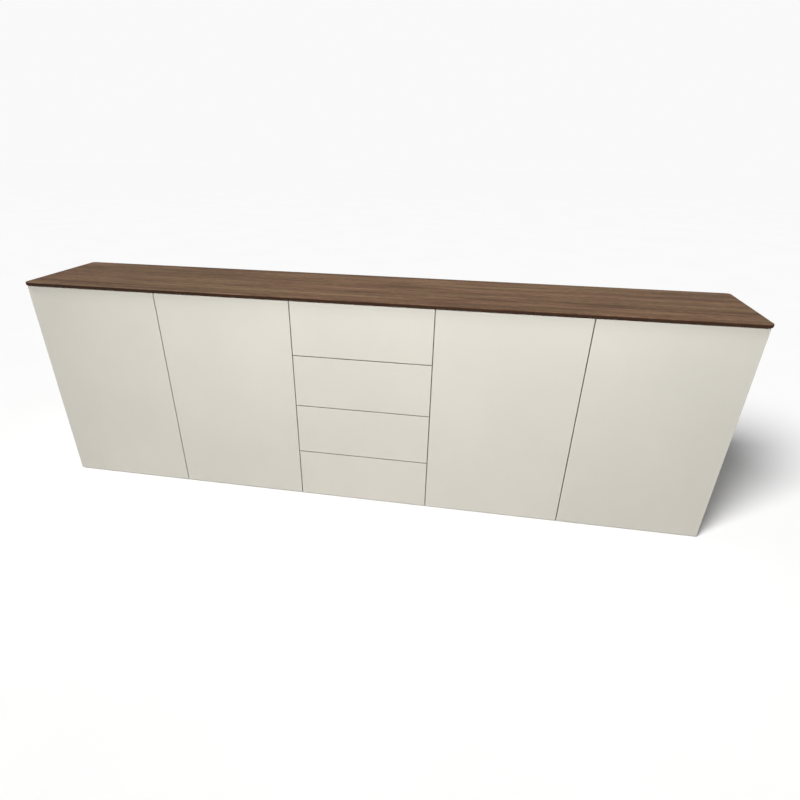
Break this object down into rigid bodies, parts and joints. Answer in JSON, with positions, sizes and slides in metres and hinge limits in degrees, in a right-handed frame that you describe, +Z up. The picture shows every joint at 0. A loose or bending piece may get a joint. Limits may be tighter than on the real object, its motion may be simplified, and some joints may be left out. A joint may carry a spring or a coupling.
{
  "type": "sideboard",
  "caption": "Long low sideboard with a thin rounded walnut top over plain ivory push-to-open fronts: double-door bays on concealed hinges beside a central stack of drawers.",
  "frame": {"origin": "on the floor, under the middle of the overall outline", "axes": "+Z up, +X along the length to the right as seen from the front, fronts facing -Y"},
  "size_m": [2.514, 0.409, 0.786],
  "materials": {
    "walnut_veneer": "satin open-pore walnut veneer, grain along the length",
    "ivory_lacquer": "satin ivory lacquer on board",
    "white_board": "matt off-white faced board",
    "birch_board": "clear lacquered birch",
    "beech": "raw beech",
    "nickel_steel": "nickel plated",
    "zinc_steel": "zinc plated",
    "grey_plastic": "moulded grey plastic",
    "black_plastic": "moulded black plastic"
  },
  "bodies": {
    "carcass": {"walnut_top": "walnut_veneer", "top_screws": "zinc_steel", "left_end_panel": "ivory_lacquer", "right_end_panel": "ivory_lacquer", "left_divider": "white_board", "right_divider": "white_board", "bottom_panel": "white_board", "carcass_top_panel": "white_board", "left_back_panel": "white_board", "centre_back_panel": "white_board", "right_back_panel": "white_board", "left_shelf": "white_board", "right_shelf": "white_board", "shelf_supports": "zinc_steel", "carcass_dowels": "beech", "levelling_feet": "black_plastic", "hinge_arms": "nickel_steel", "hinge_plates": "nickel_steel", "latch_housings": "grey_plastic", "cabinet_rails": "zinc_steel"},
    "left_outer_door": {"left_outer_door_panel": "ivory_lacquer", "left_outer_hinge_cups": "nickel_steel", "left_outer_hinge_pins": "zinc_steel"},
    "left_outer_latch": {"left_outer_latch_plunger": "grey_plastic"},
    "left_inner_door": {"left_inner_door_panel": "ivory_lacquer", "left_inner_hinge_cups": "nickel_steel", "left_inner_hinge_pins": "zinc_steel"},
    "left_inner_latch": {"left_inner_latch_plunger": "grey_plastic"},
    "right_inner_door": {"right_inner_door_panel": "ivory_lacquer", "right_inner_hinge_cups": "nickel_steel", "right_inner_hinge_pins": "zinc_steel"},
    "right_inner_latch": {"right_inner_latch_plunger": "grey_plastic"},
    "right_outer_door": {"right_outer_door_panel": "ivory_lacquer", "right_outer_hinge_cups": "nickel_steel", "right_outer_hinge_pins": "zinc_steel"},
    "right_outer_latch": {"right_outer_latch_plunger": "grey_plastic"},
    "drawer_1": {"drawer_1_front": "ivory_lacquer", "drawer_1_sides": "birch_board", "drawer_1_back": "birch_board", "drawer_1_bottom": "birch_board", "drawer_1_rails": "zinc_steel"},
    "drawer_1_runner": {"drawer_1_middle_rails": "zinc_steel"},
    "drawer_2": {"drawer_2_front": "ivory_lacquer", "drawer_2_sides": "birch_board", "drawer_2_back": "birch_board", "drawer_2_bottom": "birch_board", "drawer_2_rails": "zinc_steel"},
    "drawer_2_runner": {"drawer_2_middle_rails": "zinc_steel"},
    "drawer_3": {"drawer_3_front": "ivory_lacquer", "drawer_3_sides": "birch_board", "drawer_3_back": "birch_board", "drawer_3_bottom": "birch_board", "drawer_3_rails": "zinc_steel"},
    "drawer_3_runner": {"drawer_3_middle_rails": "zinc_steel"},
    "drawer_4": {"drawer_4_front": "ivory_lacquer", "drawer_4_sides": "birch_board", "drawer_4_back": "birch_board", "drawer_4_bottom": "birch_board", "drawer_4_rails": "zinc_steel"},
    "drawer_4_runner": {"drawer_4_middle_rails": "zinc_steel"}
  },
  "joints": [
    {"name": "left_outer_door_hinge", "type": "hinge", "parent": "carcass", "child": "left_outer_door", "pos_m": [-1.2412, -0.18952, 0.388], "axis": [0, 0, -1], "range_deg": [0, 95]},
    {"name": "left_outer_latch_slide", "type": "slide", "parent": "carcass", "child": "left_outer_latch", "axis": [0, -1, 0], "range_m": [0, 0.038]},
    {"name": "left_inner_door_hinge", "type": "hinge", "parent": "carcass", "child": "left_inner_door", "pos_m": [-0.2603, -0.18952, 0.388], "axis": [0, 0, 1], "range_deg": [0, 90]},
    {"name": "left_inner_latch_slide", "type": "slide", "parent": "carcass", "child": "left_inner_latch", "axis": [0, -1, 0], "range_m": [0, 0.038]},
    {"name": "right_inner_door_hinge", "type": "hinge", "parent": "carcass", "child": "right_inner_door", "pos_m": [0.2603, -0.18952, 0.388], "axis": [0, 0, -1], "range_deg": [0, 90]},
    {"name": "right_inner_latch_slide", "type": "slide", "parent": "carcass", "child": "right_inner_latch", "axis": [0, -1, 0], "range_m": [0, 0.038]},
    {"name": "right_outer_door_hinge", "type": "hinge", "parent": "carcass", "child": "right_outer_door", "pos_m": [1.2412, -0.18952, 0.388], "axis": [0, 0, 1], "range_deg": [0, 95]},
    {"name": "right_outer_latch_slide", "type": "slide", "parent": "carcass", "child": "right_outer_latch", "axis": [0, -1, 0], "range_m": [0, 0.038]},
    {"name": "drawer_1_slide", "type": "slide", "parent": "carcass", "child": "drawer_1", "axis": [0, -1, 0], "range_m": [-0.0025, 0.3]},
    {"name": "drawer_1_runner_slide", "type": "slide", "parent": "carcass", "child": "drawer_1_runner", "axis": [0, -1, 0], "range_m": [-0.00125, 0.15]},
    {"name": "drawer_2_slide", "type": "slide", "parent": "carcass", "child": "drawer_2", "axis": [0, -1, 0], "range_m": [-0.0025, 0.3]},
    {"name": "drawer_2_runner_slide", "type": "slide", "parent": "carcass", "child": "drawer_2_runner", "axis": [0, -1, 0], "range_m": [-0.00125, 0.15]},
    {"name": "drawer_3_slide", "type": "slide", "parent": "carcass", "child": "drawer_3", "axis": [0, -1, 0], "range_m": [-0.0025, 0.3]},
    {"name": "drawer_3_runner_slide", "type": "slide", "parent": "carcass", "child": "drawer_3_runner", "axis": [0, -1, 0], "range_m": [-0.00125, 0.15]},
    {"name": "drawer_4_slide", "type": "slide", "parent": "carcass", "child": "drawer_4", "axis": [0, -1, 0], "range_m": [-0.0025, 0.3]},
    {"name": "drawer_4_runner_slide", "type": "slide", "parent": "carcass", "child": "drawer_4_runner", "axis": [0, -1, 0], "range_m": [-0.00125, 0.15]}
  ],
  "couplings": [
    {"joint": "left_outer_latch_slide", "follows": "left_outer_door_hinge", "m_per_rad": 0.022918},
    {"joint": "left_inner_latch_slide", "follows": "left_inner_door_hinge", "m_per_rad": 0.024191},
    {"joint": "right_inner_latch_slide", "follows": "right_inner_door_hinge", "m_per_rad": 0.024191},
    {"joint": "right_outer_latch_slide", "follows": "right_outer_door_hinge", "m_per_rad": 0.022918},
    {"joint": "drawer_1_runner_slide", "follows": "drawer_1_slide", "ratio": 0.5},
    {"joint": "drawer_2_runner_slide", "follows": "drawer_2_slide", "ratio": 0.5},
    {"joint": "drawer_3_runner_slide", "follows": "drawer_3_slide", "ratio": 0.5},
    {"joint": "drawer_4_runner_slide", "follows": "drawer_4_slide", "ratio": 0.5}
  ]
}
